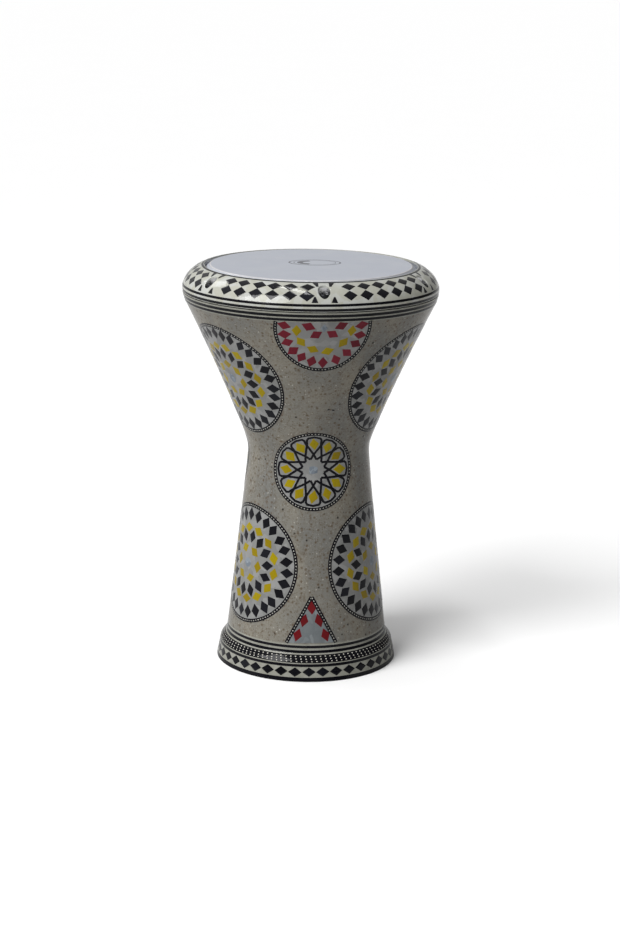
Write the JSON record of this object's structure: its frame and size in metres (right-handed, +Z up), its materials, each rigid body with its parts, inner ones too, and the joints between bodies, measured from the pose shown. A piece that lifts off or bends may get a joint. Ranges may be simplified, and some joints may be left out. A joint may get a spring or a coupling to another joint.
{
  "type": "goblet drum",
  "caption": "Goblet hand drum with a cast metal shell under a mosaic skin, a screwed tuning ring that lifts as its socket screws turn, and a film head.",
  "frame": {"origin": "centre of the foot rim on the floor", "axes": "+Z up along the drum's axis, from the open foot to the playing head; -Y is the front"},
  "size_m": [0.28, 0.28, 0.4448],
  "materials": {
    "cast_shell": "cast and brushed",
    "cast_ring": "cast and machined",
    "hoop_metal": "rolled",
    "washer_steel": "zinc plated",
    "black_steel": "black oxide",
    "stone_resin": "speckled, clear coated",
    "cream_resin": "pearly, clear coated",
    "pearl_ground": "pearly, clear coated",
    "black_inlay": "clear coated",
    "rope_inlay": "black cord with cream dots, clear coated",
    "yellow_inlay": "dyed, clear coated",
    "red_inlay": "dyed, clear coated",
    "shell_pearl": "mother-of-pearl, clear coated",
    "head_film": "satin film"
  },
  "bodies": {
    "shell": {"shell": "cast_shell", "shell_skin": "stone_resin", "foot_band": "cream_resin", "top_band": "cream_resin", "foot_stripes": "black_inlay", "foot_dot_band": "black_inlay", "foot_diamonds": "black_inlay", "top_stripes": "black_inlay", "bowl_grounds": "pearl_ground", "bowl_ropes": "rope_inlay", "bowl_black_outer": "black_inlay", "bowl_yellow_outer": "yellow_inlay", "bowl_black_inner": "black_inlay", "bowl_yellow_inner": "yellow_inlay", "bowl_pearls": "shell_pearl", "foot_grounds": "pearl_ground", "foot_ropes": "rope_inlay", "foot_black_outer": "black_inlay", "foot_yellow_outer": "yellow_inlay", "foot_black_inner": "black_inlay", "foot_yellow_inner": "yellow_inlay", "foot_pearls": "shell_pearl", "rosette_grounds": "pearl_ground", "rosette_ropes": "rope_inlay", "rosette_lines": "black_inlay", "rosette_yellow": "yellow_inlay", "rosette_pearls": "shell_pearl", "half_grounds": "pearl_ground", "half_ropes": "rope_inlay", "half_red_outer": "red_inlay", "half_yellow": "yellow_inlay", "half_red_inner": "red_inlay", "half_pearls": "shell_pearl", "triangle_grounds": "pearl_ground", "triangle_ropes": "rope_inlay", "triangle_red": "red_inlay", "head_film": "head_film", "flesh_hoop": "hoop_metal"},
    "tuning_ring": {"tuning_ring": "cast_ring", "ring_skin": "cream_resin", "ring_stripes": "black_inlay", "ring_thread": "black_inlay", "ring_upper_tiles": "black_inlay", "ring_lower_tiles": "black_inlay", "ring_wedges": "black_inlay", "screw_washers": "washer_steel"},
    "screw_1": {"screw_1": "black_steel"},
    "screw_2": {"screw_2": "black_steel"},
    "screw_3": {"screw_3": "black_steel"},
    "screw_4": {"screw_4": "black_steel"},
    "screw_5": {"screw_5": "black_steel"},
    "screw_6": {"screw_6": "black_steel"}
  },
  "joints": [
    {"name": "ring_slide", "type": "slide", "parent": "shell", "child": "tuning_ring", "axis": [0, 0, 1], "range_m": [0, 0.02]},
    {"name": "screw_1_turn", "type": "hinge", "parent": "tuning_ring", "child": "screw_1", "pos_m": [0.01404, -0.12924, 0.428], "axis": [0, 0, 1], "range_deg": [0, 7201]},
    {"name": "screw_2_turn", "type": "hinge", "parent": "tuning_ring", "child": "screw_2", "pos_m": [0.11894, -0.05246, 0.428], "axis": [0, 0, 1], "range_deg": [0, 7201]},
    {"name": "screw_3_turn", "type": "hinge", "parent": "tuning_ring", "child": "screw_3", "pos_m": [0.1049, 0.07678, 0.428], "axis": [0, 0, 1], "range_deg": [0, 7201]},
    {"name": "screw_4_turn", "type": "hinge", "parent": "tuning_ring", "child": "screw_4", "pos_m": [-0.01404, 0.12924, 0.428], "axis": [0, 0, 1], "range_deg": [0, 7201]},
    {"name": "screw_5_turn", "type": "hinge", "parent": "tuning_ring", "child": "screw_5", "pos_m": [-0.11894, 0.05246, 0.428], "axis": [0, 0, 1], "range_deg": [0, 7201]},
    {"name": "screw_6_turn", "type": "hinge", "parent": "tuning_ring", "child": "screw_6", "pos_m": [-0.1049, -0.07678, 0.428], "axis": [0, 0, 1], "range_deg": [0, 7201]}
  ],
  "couplings": [
    {"joint": "screw_1_turn", "follows": "ring_slide", "rad_per_m": 6283.2},
    {"joint": "screw_2_turn", "follows": "ring_slide", "rad_per_m": 6283.2},
    {"joint": "screw_3_turn", "follows": "ring_slide", "rad_per_m": 6283.2},
    {"joint": "screw_4_turn", "follows": "ring_slide", "rad_per_m": 6283.2},
    {"joint": "screw_5_turn", "follows": "ring_slide", "rad_per_m": 6283.2},
    {"joint": "screw_6_turn", "follows": "ring_slide", "rad_per_m": 6283.2}
  ]
}
